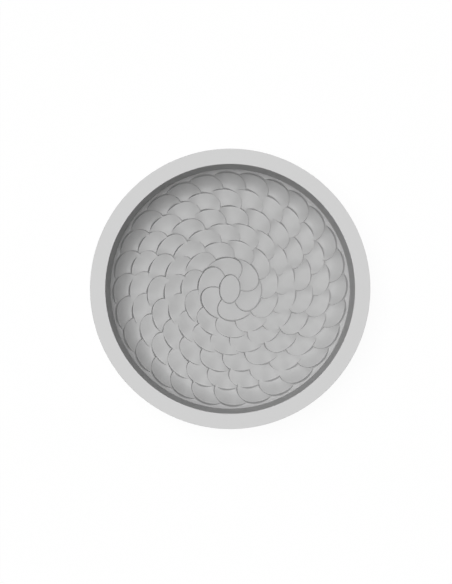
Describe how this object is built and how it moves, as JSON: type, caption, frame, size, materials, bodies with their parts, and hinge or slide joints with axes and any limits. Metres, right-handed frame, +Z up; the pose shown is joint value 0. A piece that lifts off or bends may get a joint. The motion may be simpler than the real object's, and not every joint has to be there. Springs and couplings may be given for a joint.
{
  "type": "cake mould",
  "caption": "Round silicone cake mould with a flat stiffened rim, a plain drafted wall and a dished floor of overlapping petals that prints its pattern on the cake.",
  "frame": {"origin": "on the table, under the centre of the foot ring", "axes": "+Z up out of the mouth; +X and +Y lie along the picture's right and up directions when looking down into the mould"},
  "size_m": [0.202, 0.202, 0.052],
  "materials": {
    "bowl_silicone": "matt",
    "rim_silicone": "matt",
    "band_steel": "rolled"
  },
  "bodies": {
    "root": {"mould_bowl": "bowl_silicone", "rim_ring": "rim_silicone", "stiffening_band": "band_steel"}
  },
  "joints": []
}
